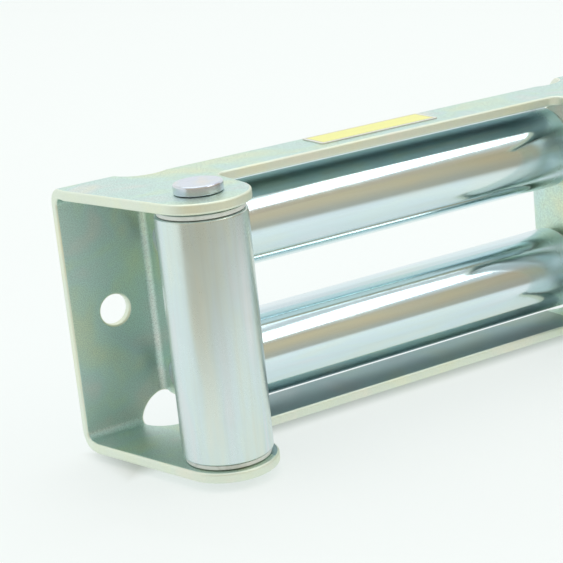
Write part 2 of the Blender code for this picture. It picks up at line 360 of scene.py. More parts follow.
class Nodes:
    """A small helper that places shader nodes in one tree and joins them."""

    def __init__(self, tree: Tree) -> None:
        """Keep the tree that the nodes go into."""
        self.tree = tree

    def add(self, kind: str, settings: dict[str, object] | None = None,
            **inputs: object) -> Node:
        """Add a node, set its properties and fill or join its inputs.

        Args:
            kind: The node's type without "ShaderNode".
            settings: Values of the node's own properties.
            **inputs: Input name with _ for spaces, and a value or an output socket.

        Returns:
            The new node.
        """
        node = self.tree.nodes.new("ShaderNode" + kind)
        for name, value in (settings or {}).items():
            setattr(node, name, value)
        self.fill(node, **inputs)
        return node

    def fill(self, node: Node, **inputs: object) -> None:
        """Fill or join a node's inputs, named with _ for spaces."""
        for name, value in inputs.items():
            self.feed(node.inputs[name.replace("_", " ")], value)

    def feed(self, socket: Socket, value: object) -> None:
        """Give a socket a value, a colour's with full alpha, or join an output socket to it."""
        if isinstance(value, Socket):
            self.tree.links.new(value, socket)
        else:
            socket.default_value = (*value, 1.0) if socket.type == "RGBA" else value

    def maths(self, operation: str, first: object, second: object = 0.0,
              third: object = 0.0) -> Socket:
        """Return the output of a Math node on up to three values."""
        node = self.add("Math", {"operation": operation})
        for socket, value in zip(node.inputs, (first, second, third)):
            self.feed(socket, value)
        return node.outputs[0]

    def weighed(self, first: Socket, second: Socket, share: float) -> Socket:
        """Return the average of two values, the second counted by its share."""
        return self.maths("MULTIPLY_ADD", second, share,
                          self.maths("MULTIPLY", first, 1.0 - share))

    def between(self, value: object, low: float, high: float, start: float = 0.0,
                end: float = 1.0) -> Socket:
        """Return a value mapped smoothly from low..high to start..end."""
        node = self.add("MapRange", {"interpolation_type": "SMOOTHSTEP"}, Value=value)
        self.fill(node, From_Min=low, From_Max=high, To_Min=start, To_Max=end)
        return node.outputs["Result"]

    def mixed(self, share: object, first: object, second: object,
              blend: str = "MIX") -> Socket:
        """Return two colours mixed by a share."""
        node = self.add("Mix", {"data_type": "RGBA", "blend_type": blend})
        for index, value in ((0, share), (6, first), (7, second)):
            self.feed(node.inputs[index], value)
        return node.outputs[2]

    def noise(self, place: Socket, scale: object, detail: float,
              roughness: float = 0.5, distortion: float = 0.0) -> Socket:
        """Return the value of a noise at a place."""
        node = self.add("TexNoise", Vector=place, Scale=scale, Detail=detail,
                        Roughness=roughness, Distortion=distortion)
        return node.outputs["Fac"]

    def stretched(self, place: Socket, scale: Sequence[float],
                  shift: Sequence[float] = (0.0, 0.0, 0.0)) -> Socket:
        """Return a place with its axes scaled and shifted."""
        return self.add("Mapping", Vector=place, Scale=scale, Location=shift).outputs[0]

    def parts(self, place: Socket) -> Sequence[Socket]:
        """Return a place's X, Y and Z, found by name."""
        return self.add("SeparateXYZ", Vector=place).outputs


def new_group(name: str, takes: dict[str, str],
              gives: dict[str, str]) -> tuple[Tree, Nodes, Sequence[Socket], Node]:
    """Make an empty shader node group with named sockets.

    Args:
        name: The group's name.
        takes: Input names and their socket types.
        gives: Output names and their socket types.

    Returns:
        The group, a helper on it, the sockets that it takes and its output node.
    """
    group = bpy.data.node_groups.new(name, "ShaderNodeTree")
    for side, sockets in (("INPUT", takes), ("OUTPUT", gives)):
        for socket_name, kind in sockets.items():
            group.interface.new_socket(socket_name, in_out=side, socket_type="NodeSocket" + kind)
    taken = group.nodes.new("NodeGroupInput").outputs
    return group, Nodes(group), taken, group.nodes.new("NodeGroupOutput")


class SharedEffects:
    """The node groups that more than one finish uses, each built once."""

    def __init__(self) -> None:
        """Build the groups."""
        self.passivation = self.build_passivation()
        self.grain = self.build_grain()
        self.handling = self.build_handling()

    def build_passivation(self) -> Tree:
        """Build the thin iridescent film on zinc: broad drifts of yellow, green, blue and rose.

        Returns:
            A group that takes a place, a base colour and the drifts' size and strength, and
            gives the tinted colour.
        """
        group, nodes, taken, given = new_group(
            "passivation_film",
            {"Place": "Vector", "Base": "Color", "Size": "Float", "Strength": "Float"},
            {"Colour": "Color"},
        )
        broad = nodes.noise(taken["Place"], taken["Size"], detail=2.0, roughness=0.55,
                            distortion=0.6)
        finer_size = nodes.maths("MULTIPLY", taken["Size"], 2.3)
        fine = nodes.noise(taken["Place"], finer_size, detail=3.0, distortion=0.3)
        hues = nodes.add("ValToRGB")
        ramp = hues.color_ramp
        ramp.interpolation = "B_SPLINE"
        film_colours = (
            (0.30, (1.02, 1.00, 0.78)),
            (0.42, (0.90, 1.02, 0.88)),
            (0.52, (0.78, 0.97, 1.02)),
            (0.60, (0.92, 0.96, 1.08)),
            (0.70, (1.06, 1.00, 0.86)),
        )
        while len(ramp.elements) < len(film_colours):
            ramp.elements.new(0.5)
        for element, (position, colour) in zip(ramp.elements, film_colours):
            element.position = position
            element.color = (*colour, 1.0)
        nodes.fill(hues, Fac=nodes.weighed(broad, fine, share=0.3))
        nodes.fill(given, Colour=nodes.mixed(taken["Strength"], taken["Base"],
                                             hues.outputs["Color"], "MULTIPLY"))
        return group

    def build_grain(self) -> Tree:
        """Build the fine crystal grain of plated steel.

        Returns:
            A group that takes a place and the grains' size, and gives a speckle value
            and a height.
        """
        group, nodes, taken, given = new_group(
            "plating_grain", {"Place": "Vector", "Size": "Float"},
            {"Speckle": "Float", "Height": "Float"})
        coarse = nodes.noise(taken["Place"], taken["Size"], detail=2.0, roughness=0.6)
        finer_size = nodes.maths("MULTIPLY", taken["Size"], 2.7)
        fine = nodes.noise(taken["Place"], finer_size, detail=2.0)
        nodes.fill(given, Speckle=nodes.between(fine, 0.30, 0.70),
                   Height=nodes.weighed(coarse, fine, share=0.4))
        return group

    def build_handling(self) -> Tree:
        """Build the marks of handling: soft smears.

        Returns:
            A group that takes a place and the smears' size, and gives a smear mask.
        """
        group, nodes, taken, given = new_group(
            "handling_marks", {"Place": "Vector", "Size": "Float"}, {"Smear": "Float"})
        smear = nodes.noise(taken["Place"], taken["Size"], detail=4.0, roughness=0.6,
                            distortion=1.2)
        nodes.fill(given, Smear=nodes.between(smear, 0.45, 0.70))
        return group


def new_material(name: str) -> tuple[Material, Nodes, Node]:
    """Make a material and return it with its node helper and its shader.

    Args:
        name: The material's name.

    Returns:
        The material, a helper on its tree, and its Principled BSDF.
    """
    material = bpy.data.materials.new(name)
    material.use_nodes = True
    return material, Nodes(material.node_tree), material.node_tree.nodes["Principled BSDF"]


def object_place(nodes: Nodes) -> Socket:
    """Return the Object coordinates socket."""
    return nodes.add("TexCoord").outputs["Object"]


def grouped(nodes: Nodes, group: Tree, **inputs: object) -> Node:
    """Place a shared node group and fill its inputs.

    Args:
        nodes: The helper of the tree that it goes into.
        group: The shared group.
        **inputs: The group's inputs by name.

    Returns:
        The group node.
    """
    node = nodes.tree.nodes.new("ShaderNodeGroup")
    node.node_tree = group
    for name, value in inputs.items():
        nodes.feed(node.inputs[name], value)
    return node


def bumped(nodes: Nodes, height: object, strength: float, distance: float) -> Socket:
    """Return a normal that a height map has disturbed."""
    node = nodes.add("Bump", Height=height, Strength=strength, Distance=distance)
    return node.outputs["Normal"]


@dataclass(frozen=True)
class SteelFinish:
    """Plated or dark steel: a film of faint colours, a fine grain and marks of handling."""

    name: str
    colour: Colour
    roughness: float
    film_strength: float = 0.5
    film_size: float = 60.0
    grain_size: float = 2200.0
    grain_roughness: float = 0.06
    marks_size: float = 45.0
    marks_roughness: float = 0.0
    bump_strength: float = 0.3
    bump_height: float = 0.00001

    def made(self, effects: SharedEffects) -> Material:
        """Build the material.

        Args:
            effects: The shared node groups.

        Returns:
            The finished material.
        """
        material, nodes, shader = new_material(self.name)
        place = object_place(nodes)
        along = self.drawn_out(nodes, place)
        film = grouped(nodes, effects.passivation, Place=along, Base=self.colour,
                       Size=self.film_size, Strength=self.film_strength).outputs["Colour"]
        grain = grouped(nodes, effects.grain, Place=along, Size=self.grain_size)
        marks = grouped(nodes, effects.handling, Place=place, Size=self.marks_size)
        speckle, smear = grain.outputs["Speckle"], marks.outputs["Smear"]
        rough = nodes.maths("MULTIPLY_ADD", speckle, self.grain_roughness, self.roughness)
        rough = nodes.maths("MULTIPLY_ADD", smear, self.marks_roughness, rough)
        normal = bumped(nodes, grain.outputs["Height"], self.bump_strength, self.bump_height)
        nodes.fill(shader, Base_Color=self.shaded(nodes, place, film, speckle), Metallic=1.0,
                   Roughness=self.dulled(nodes, place, rough), Normal=normal)
        return material

    def drawn_out(self, nodes: Nodes, place: Socket) -> Socket:
        """Return the place that the film and the grain are laid by."""
        return place

    def shaded(self, nodes: Nodes, place: Socket, film: Socket, speckle: Socket) -> Socket:
        """Return the colour that shows, made from the film's."""
        return film

    def dulled(self, nodes: Nodes, place: Socket, rough: Socket) -> Socket:
        """Return the roughness that shows."""
        return rough


@dataclass(frozen=True)
class SheetFinish(SteelFinish):
    """Dull zinc plating on the folded plate, darker in its grain."""

    film_strength: float = 1.0
    marks_size: float = 30.0
    grain_roughness: float = 0.08
    marks_roughness: float = 0.05
    bump_strength: float = 0.5
    bump_height: float = 0.00005
    grain_contrast: float = 0.50
    grain_colour: Colour = (0.25, 0.33, 0.30)

    def shaded(self, nodes: Nodes, place: Socket, film: Socket, speckle: Socket) -> Socket:
        """Return the film's colour, darkened by the grain."""
        depth = nodes.between(speckle, 0.0, 1.0, self.grain_contrast, 0.0)
        return nodes.mixed(depth, film, self.grain_colour)


@dataclass(frozen=True)
class TubeFinish(SteelFinish):
    """Bright zinc plating on a turned tube, its film and streaks drawn out along the tube."""

    film_size: float = 70.0
    grain_size: float = 2600.0
    grain_roughness: float = 0.03
    marks_roughness: float = 0.05
    bump_strength: float = 0.25
    bump_height: float = 0.000006
    axis: Axis = Axis.ACROSS
    film_stretch: float = 0.16
    streak_stretch: float = 0.03
    streak_size: float = 420.0
    streak_low: float = 0.42
    streak_high: float = 0.78
    streak_strength: float = 0.10
    streak_colour: Colour = (0.55, 0.54, 0.44)
    end_starts: float = 0.076
    end_stops: float = 0.100
    end_dulling: float = 0.22

    def stretched(self, nodes: Nodes, place: Socket, stretch: float) -> Socket:
        """Return a place whose patterns are drawn out along the tube."""
        across = self.axis is Axis.ACROSS
        return nodes.stretched(place, (stretch, 1.0, 1.0) if across else (1.0, 1.0, stretch))

    def drawn_out(self, nodes: Nodes, place: Socket) -> Socket:
        """Return the place that the film and the grain are laid by."""
        return self.stretched(nodes, place, self.film_stretch)

    def shaded(self, nodes: Nodes, place: Socket, film: Socket, speckle: Socket) -> Socket:
        """Return the film's colour with faint streaks in it."""
        drawn = self.stretched(nodes, place, self.streak_stretch)
        streaks = nodes.noise(drawn, self.streak_size, detail=3.0, roughness=0.6)
        share = nodes.between(streaks, self.streak_low, self.streak_high, 0.0,
                              self.streak_strength)
        return nodes.mixed(share, film, self.streak_colour)

    def dulled(self, nodes: Nodes, place: Socket, rough: Socket) -> Socket:
        """Return the roughness, greater towards a lying tube's right end."""
        if self.axis is Axis.UPRIGHT:
            return rough
        along_tube = nodes.parts(place)["X"]
        dull = nodes.between(along_tube, self.end_starts, self.end_stops, 0.0, self.end_dulling)
        return nodes.maths("ADD", rough, dull)


@dataclass(frozen=True)
class PlasticFinish:
    """Plain plastic with a fine grain, soiled where it was handled."""

    name: str
    colour: Colour
    soiled: Colour
    soiling: float
    grain_size: float
    marks_size: float
    smoothest: float
    roughest: float
    bump_strength: float
    bump_height: float

    def made(self, effects: SharedEffects) -> Material:
        """Build the material.

        Args:
            effects: The shared node groups.

        Returns:
            The finished material.
        """
        material, nodes, shader = new_material(self.name)
        place = object_place(nodes)
        grain = grouped(nodes, effects.grain, Place=place, Size=self.grain_size)
        marks = grouped(nodes, effects.handling, Place=place, Size=self.marks_size)
        share = nodes.maths("MULTIPLY", marks.outputs["Smear"], self.soiling)
        worn = nodes.mixed(share, self.colour, self.soiled)
        rough = nodes.between(grain.outputs["Speckle"], 0.0, 1.0, self.smoothest, self.roughest)
        normal = bumped(nodes, grain.outputs["Height"], self.bump_strength, self.bump_height)
        nodes.fill(shader, Base_Color=self.ruled(nodes, place, worn), Roughness=rough,
                   Normal=normal)
        return material

    def ruled(self, nodes: Nodes, place: Socket, worn: Socket) -> Socket:
        """Return the colour that shows, made from the worn one."""
        return worn


@dataclass(frozen=True)
class StickerFinish(PlasticFinish):
    """A sticker's film: a plain field with a thin outline and a pale margin."""

    centre: Vector
    half_length: float
    half_width: float
    outline: Colour = (0.42, 0.42, 0.36)
    margin: Colour = (0.80, 0.80, 0.74)
    border: float = 0.0012
    line: float = 0.0004

    def ruled(self, nodes: Nodes, place: Socket, worn: Socket) -> Socket:
        """Return the field's colour with the outline and the margin round it."""
        parts = nodes.parts(nodes.stretched(place, (1.0, 1.0, 1.0), [-x for x in self.centre]))
        shown = worn
        for inset, beyond in ((self.border + self.line, self.outline), (self.border, self.margin)):
            within = [nodes.maths("LESS_THAN", nodes.maths("ABSOLUTE", parts[axis]), half - inset)
                      for axis, half in (("X", self.half_length), ("Y", self.half_width))]
            shown = nodes.mixed(nodes.maths("MULTIPLY", *within), beyond, shown)
        return shown


def dress(piece: Piece, *materials: Material) -> None:
    """Give a piece its materials in slot order."""
    piece.data.materials.clear()
    for material in materials:
        piece.data.materials.append(material)


# The folded plate


@dataclass
class FoldedFrame:
    """One plate, blanked flat with its window and holes, then folded.

    The flanges above and below carry the ears, and a tab stands at each side of the
    window. The blank is modelled at the depth that keeps its length when it folds.
    """

    length: float = 0.2960
    height: float = 0.1165
    plate: float = 0.0045
    bend_inner_radius: float = 0.0035
    neutral_factor: float = 0.40
    ear_from_end: float = 0.0360
    ear_reach: float = 0.0650
    ear_radius: float = 0.0210
    side_depth: float = 0.0130
    strip_rear: float = 0.0150
    strip_front: float = 0.0412
    strip_fillet: float = 0.0050
    tab_from_end: float = 0.0444
    tab_reach: float = 0.0380
    tab_corner: float = 0.0090
    tab_inset: float = 0.0160
    relief_radius: float = 0.0130
    bolt_from_end: float = 0.0210
    bolt_hole: float = 0.0135
    pin_hole_radius: float = 0.00665
    lying_depth: float = 0.0213
    lying_height: float = 0.0283
    bottom: float = 0.0036
    rear: float = 0.0430
    fold_steps: int = 14
    fillet_steps: int = 10
    ear_steps: int = 64
    relief_steps: int = 60
    tab_steps: int = 14
    hole_steps: int = 48
    edge_radius: float = 0.0011
    edge_segments: int = 5
    cut_face_slope: float = 0.96
    channel_half: float = 0.0990
    tolerance: float = 0.00001

    def __post_init__(self) -> None:
        """Work out the sizes that follow from the others."""
        self.outer_radius = self.bend_inner_radius + self.plate
        self.neutral_radius = self.bend_inner_radius + self.neutral_factor * self.plate
        self.bend_length = math.pi / 2 * self.neutral_radius
        self.setback = 2 * self.outer_radius - self.bend_length
        self.window_half = self.length / 2 - self.tab_from_end
        self.ear_spread = self.length / 2 - self.ear_from_end
        self.sheet_y = self.rear - (self.outer_radius - self.neutral_radius)

    def in_four(self, quarter: Sequence[Point]) -> list[Point]:
        """Mirror a quarter outline, lower middle to right side, into a whole one."""
        right = [*quarter, *((x, self.height - y) for x, y in quarter[-2::-1])]
        return right + [(-x, y) for x, y in right[-2:0:-1]]

    def outer_edge(self) -> list[Point]:
        """Return the blank's outer edge, with the ears, strips and tapered sides."""
        centre = (self.ear_spread, self.setback - self.ear_reach)
        strip = self.setback - self.strip_front
        inner = self.ear_spread - self.ear_radius
        side, shoulder = self.length / 2, self.setback - self.side_depth
        run = (side - centre[0], shoulder - centre[1])
        touch = math.atan2(run[1], run[0]) - math.acos(self.ear_radius / math.hypot(*run))
        fillet = (inner - self.strip_fillet, strip - self.strip_fillet)
        quarter = [(0.0, strip)]
        quarter += arc(fillet, self.strip_fillet, math.pi / 2, 0.0, self.fillet_steps)
        quarter += arc(centre, self.ear_radius, math.pi, 2 * math.pi + touch, self.ear_steps)
        quarter += [(side, shoulder), (side, self.height / 2)]
        return self.in_four(quarter)

    def window_edge(self) -> list[Point]:
        """Return the window's edge, with the tabs' ends and the round reliefs."""
        middle = self.outer_radius - self.bend_length / 2
        centre = (self.window_half + middle, middle)
        strip = self.setback - self.strip_rear
        tip = self.window_half + self.setback - self.tab_reach
        start = -math.pi / 2 - math.acos((centre[1] - strip) / self.relief_radius)
        end = math.pi / 2 + math.acos((self.tab_inset - centre[1]) / self.relief_radius)
        corner = (tip + self.tab_corner, self.tab_inset + self.tab_corner)
        quarter = [(0.0, strip)]
        quarter += arc(centre, self.relief_radius, start, end, self.relief_steps)
        quarter += arc(corner, self.tab_corner, -math.pi / 2, -math.pi, self.tab_steps)
        quarter += [(tip, self.height / 2)]
        return self.in_four(quarter)

    def hole_edges(self) -> list[list[Point]]:
        """Return the edges of the pin holes and the bolt holes."""
        ear = (self.ear_spread, self.setback - self.ear_reach)
        tab = (self.window_half + self.setback - self.lying_depth, self.lying_height)
        bolt = (self.length / 2 - self.bolt_from_end, self.height / 2)
        places = [(side * x, y, self.pin_hole_radius)
                  for side in (-1, 1) for x, h in (ear, tab) for y in (h, self.height - h)]
        places += [(side * bolt[0], bolt[1], self.bolt_hole / 2) for side in (-1, 1)]
        return [arc((x, y), radius, 0.0, 2 * math.pi, self.hole_steps)[:-1]
                for x, y, radius in places]

    def past_sheet(self, step: int) -> float:
        """Return how far in from the folded plate's outer face a scored line lies."""
        return self.outer_radius - self.bend_length * step / self.fold_steps

    def score(self, sheet: Piece) -> None:
        """Cut the sheet along every bend line, in equal steps.

        Args:
            sheet: The flat sheet, standing at the plate's place.
        """
        level = [self.tab_inset, self.height - self.tab_inset]
        for step in range(self.fold_steps + 1):
            line = self.past_sheet(step)
            level += [line, self.height - line]
        with editing(sheet):
            for height in level:
                select_whole()
                bpy.ops.mesh.bisect(plane_co=(0.0, self.sheet_y, self.bottom + height),
                                    plane_no=(0.0, 0.0, 1.0))
            for step in range(self.fold_steps + 1):
                line = self.window_half + self.past_sheet(step)
                for x in (-line, line):
                    pick(sheet, "FACE",
                         lambda face: self.in_tab_rows(face.calc_center_median().z))
                    bpy.ops.mesh.bisect(plane_co=(x, self.sheet_y, 0.0), plane_no=(1.0, 0.0, 0.0))

    def in_tab_rows(self, z: float) -> bool:
        """Tell whether a height lies between a tab's lower and upper edges."""
        from_middle = abs(z - self.bottom - self.height / 2)
        return from_middle < self.height / 2 - self.tab_inset + self.tolerance

    def fold(self, sheet: Piece) -> None:
        """Fold the flanges and the tabs forward, one scored line after another.

        Args:
            sheet: The scored sheet.
        """
        slack = self.tolerance
        with editing(sheet):
            for step in range(self.fold_steps, -1, -1):
                past = self.past_sheet(step)
                share = 0.5 if step in (0, self.fold_steps) else 1.0
                turn = math.radians(90.0) * share / self.fold_steps
                low, high = self.bottom + past, self.bottom + self.height - past
                across = self.window_half + past
                # What lies on the line turns half as far as what lies beyond it
                for reach, angle in ((-slack, turn / 2), (slack, turn / 2)):
                    pick(sheet, "VERT", lambda vert: vert.co.z < low + reach)
                    self.turn_about("X", angle, (0.0, self.sheet_y, low))
                    pick(sheet, "VERT", lambda vert: vert.co.z > high - reach)
                    self.turn_about("X", -angle, (0.0, self.sheet_y, high))
                    for side in (-1, 1):
                        pick(sheet, "VERT", lambda vert: self.in_tab_rows(vert.co.z)
                             and 0 < side * vert.co.x < across + reach)
                        self.turn_about("Z", -side * angle, (side * across, self.sheet_y, 0.0))

    @staticmethod
    def turn_about(axis: str, angle: float, centre: Place) -> None:
        """Turn what is selected about an axis through a point."""
        bpy.ops.transform.rotate(value=angle, orient_axis=axis, orient_type="GLOBAL",
                                 center_override=centre)

    @staticmethod
    def finish_as(sheet: Piece, surface: Surface, wanted: Callable[..., bool]) -> None:
        """Give the wanted faces the finish of one of the plate's surfaces, in edit mode."""
        pick(sheet, "FACE", wanted)
        sheet.active_material_index = surface.value
        bpy.ops.object.material_slot_assign()

    def lines_channel(self, face: bmesh.types.BMFace) -> bool:
        """Tell whether a flat blank's face becomes the inside of a flange along the rollers, where
        the plate gets its painted shade.
        """
        centre = face.calc_center_median()
        on_flange = not 0.0 < centre.y < self.height
        beside_rollers = abs(centre.x) < self.channel_half
        return face.normal.z > self.cut_face_slope and beside_rollers and on_flange

    def build(self, rolled: Material, sheared: Material, channel_painted_shade: Material) -> None:
        """Make the whole plate.

        Args:
            rolled: The finish of the sheet's faces.
            sheared: The finish of its cut edges.
            channel_painted_shade: The finish of the flanges' inner faces along the rollers.
        """
        outlines = [self.outer_edge(), self.window_edge(), *self.hole_edges()]
        sheet = cut_blank("folded_plate", outlines, self.plate, self.edge_radius,
                          self.edge_segments)
        dress(sheet, rolled, sheared, channel_painted_shade)
        with editing(sheet):
            self.finish_as(sheet, Surface.SHEARED,
                           lambda face: abs(face.normal.z) < self.cut_face_slope)
            # The flanges' inner faces along the rollers get the darker, bluer finish: painted shade
            for x in (-self.channel_half, self.channel_half):
                select_whole()
                bpy.ops.mesh.bisect(plane_co=(x, 0.0, 0.0), plane_no=(1.0, 0.0, 0.0))
            self.finish_as(sheet, Surface.CHANNEL_PAINTED_SHADE, self.lines_channel)
        sheet.rotation_euler = (math.pi / 2, 0.0, 0.0)
        sheet.location = (0.0, self.rear - self.plate / 2, self.bottom)
        settle(sheet)
        self.score(sheet)
        self.fold(sheet)
        smooth(sheet)
        hand_over(sheet, "frame", "frame")


# Turned pieces and fasteners


class TurnedPiece:
    """A piece that is turned about Z from its rings and then has its hard edges rounded."""

    steps: ClassVar[int]
    bored: ClassVar[bool]
    rounding: ClassVar[float]
    hard_angle: ClassVar[float] = 30.0

    def rings(self) -> list[Point]:
        """Return each ring's radius and height."""
        raise NotImplementedError

    def modelled(self, name: str) -> Piece:
        """Turn the piece at the origin.

        Args:
            name: The piece's name.

        Returns:
            The turned piece.
        """
        piece = turned(name, self.rings(), self.steps, self.bored)
        round_edges(piece, self.rounding, self.hard_angle)
        return piece


@dataclass
class Roller(TurnedPiece):
    """A roller tube with chamfered ends, its middle at the origin."""

    length: float
    radius: float = 0.0190
    wall: float = 0.0030
    chamfer: float = 0.0008
    chamfer_bend: float = 0.3
    mouth: float = 0.0003
    steps = 144
    bored = True
    rounding = 0.00012
    hard_angle = 25.0

    def rings(self) -> list[Point]:
        """Return each ring's radius and height."""
        half = self.length / 2
        bore = self.radius - self.wall
        bend = self.chamfer_bend * self.chamfer
        upper = [
            (self.radius, half - self.chamfer),
            (self.radius - bend, half - bend),
            (self.radius - self.chamfer, half),
            (bore + self.mouth, half),
            (bore, half - self.mouth),
        ]
        return upper + [(radius, -height) for radius, height in reversed(upper)]


@dataclass
class HeadedPin(TurnedPiece):
    """A round-headed pin with a groove for its clip, head up, its grip's middle at the origin."""

    grip: float
    radius: float = 0.00635
    head_radius: float = 0.0102
    head_height: float = 0.0040
    head_round: float = 0.0009
    head_break: float = 0.0002
    touch: float = 0.0003
    groove_depth: float = 0.0013
    groove_width: float = 0.0018
    tail: float = 0.0036
    tail_chamfer: float = 0.0008
    round_steps: int = 5
    steps = 72
    bored = False
    rounding = 0.00010

    def rings(self) -> list[Point]:
        """Return each ring's radius and height."""
        half = self.grip / 2
        seat = half + self.touch
        crown = self.head_radius - self.head_round
        top = seat + self.head_height
        groove = self.radius - self.groove_depth
        return [
            (crown, top),
            *arc((crown, top - self.head_round), self.head_round, math.pi / 2, 0.0,
                 self.round_steps)[1:],
            (self.head_radius, seat + self.head_break),
            (self.head_radius - self.head_break, seat),
            (self.radius, seat),
            (self.radius, -half),
            (groove, -half),
            (groove, -half - self.groove_width),
            (self.radius, -half - self.groove_width),
            (self.radius, self.tail_chamfer - half - self.tail),
            (self.radius - self.tail_chamfer, -half - self.tail),
        ]


@dataclass
class FlangedBush(TurnedPiece):
    """A flanged nylon bush, its flange upward and its face at the origin."""

    flange_radius: float = 0.0180
    flange: float = 0.0018
    body_radius: float = 0.0157
    bore_radius: float = 0.00665
    length: float = 0.0160
    steps = 96
    bored = True
    rounding = 0.00035

    def rings(self) -> list[Point]:
        """Return each ring's radius and height."""
        return [
            (self.flange_radius, 0.0),
            (self.flange_radius, -self.flange),
            (self.body_radius, -self.flange),
            (self.body_radius, -self.length),
            (self.bore_radius, -self.length),
            (self.bore_radius, 0.0),
        ]


@dataclass
class RetainingClip:
    """A spring-steel clip: a ring with a mouth and three teeth in the pin's groove."""

    thickness: float = 0.0012
    radius: float = 0.0100
    rim: float = 0.0026
    tooth_radius: float = 0.00535
    mouth: float = math.radians(76)
    teeth: int = 3
    tooth: float = math.radians(30)
    edge_radius: float = 0.00018
    outside_steps: int = 56
    tooth_steps: int = 8
    gap_steps: int = 14

    def modelled(self, name: str) -> Piece:
        """Stamp the clip flat, its lower face at the origin.

        Args:
            name: The piece's name.

        Returns:
            The clip.
        """
        start = self.mouth / 2
        end = 2 * math.pi - start
        between = (end - start - self.teeth * self.tooth) / (self.teeth - 1)
        middle = (0.0, 0.0)
        points = arc(middle, self.radius, start, end, self.outside_steps)
        angle = end
        for index in range(self.teeth):
            points += arc(middle, self.tooth_radius, angle, angle - self.tooth, self.tooth_steps)
            angle -= self.tooth
            if index < self.teeth - 1:
                points += arc(middle, self.radius - self.rim, angle, angle - between,
                              self.gap_steps)
                angle -= between
        piece = cut_blank(name, [points], self.thickness, self.edge_radius, ROUNDING_STEPS)
        return laid_at(piece, (0.0, 0.0, self.thickness / 2))


@dataclass
class Sticker:
    """The blank sticker on the top strip."""

    length: float = 0.0620
    width: float = 0.0170
    thickness: float = 0.0002
    backing: float = 0.00025
    corner: float = 0.0010
    corner_steps: int = 8
    edge_radius: float = 0.00004
    node: str = "blank_label"

    def build(self, effects: SharedEffects) -> None:
        """Make the sticker where its solid is.

        Args:
            effects: The shared node groups.
        """
        low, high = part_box(self.node)
        centre = (low + high) / 2
        outline: list[Point] = []
        for quarter, (x, y) in enumerate(((1, 1), (-1, 1), (-1, -1), (1, -1))):
            start = quarter * math.pi / 2
            middle = (x * (self.length / 2 - self.corner), y * (self.width / 2 - self.corner))
            outline += arc(middle, self.corner, start, start + math.pi / 2, self.corner_steps)
        piece = cut_blank("blank_sticker", [outline], self.thickness + self.backing,
                          self.edge_radius, ROUNDING_STEPS)
        laid_at(piece, centre - Vector((0.0, 0.0, self.backing / 2)))
        finish = StickerFinish("sticker_film", (0.90, 0.89, 0.29), (0.86, 0.84, 0.36), soiling=0.25,
                               grain_size=900.0, marks_size=60.0, smoothest=0.34, roughest=0.46,
                               bump_strength=0.2, bump_height=0.00001, centre=centre,
                               half_length=self.length / 2, half_width=self.width / 2)
        dress(piece, finish.made(effects))
        hand_over(piece, self.node, "frame")


class Finishes:
    """The materials of all pieces but the sticker, each built once."""

    def __init__(self, effects: SharedEffects) -> None:
        """Build the materials."""
        plate = (
            SheetFinish("zinc_plate_rolled", (0.84, 0.90, 0.83), 0.37, film_size=26.0,
                        grain_size=1000.0),
            SheetFinish("zinc_plate_sheared", (0.87, 0.89, 0.78), 0.50, film_size=30.0,
                        film_strength=0.35, grain_size=900.0, grain_contrast=0.08,
                        bump_height=0.000004),
            # Painted shade: the flanges' inner faces along the rollers, darker and bluer than the
            # rest of the same plate
            SheetFinish("zinc_plate_recessed", (0.42, 0.52, 0.53), 0.42, film_size=24.0,
                        film_strength=0.7, grain_size=1150.0, grain_contrast=0.45),
        )
        self.plate = [finish.made(effects) for finish in plate]
        tubes = (
            TubeFinish("bright_roller_lying", (0.74, 0.83, 0.86), 0.09, film_strength=0.35),
            TubeFinish("bright_roller_upright", (0.74, 0.79, 0.79), 0.27, film_strength=0.5,
                       axis=Axis.UPRIGHT, streak_strength=0.16),
        )
        self.rollers = {finish.axis: finish.made(effects) for finish in tubes}
        self.pin = SteelFinish("plated_pin", (0.74, 0.72, 0.80), 0.20, 0.6).made(effects)
        self.clip = SteelFinish("spring_clip", (0.13, 0.13, 0.14), 0.36, 0.2).made(effects)
        self.bush = PlasticFinish("grey_nylon", (0.80, 0.85, 0.83), (0.66, 0.70, 0.67), soiling=1.0,
                                  grain_size=1800.0, marks_size=120.0, smoothest=0.42,
                                  roughest=0.58, bump_strength=0.4,
                                  bump_height=0.00002).made(effects)


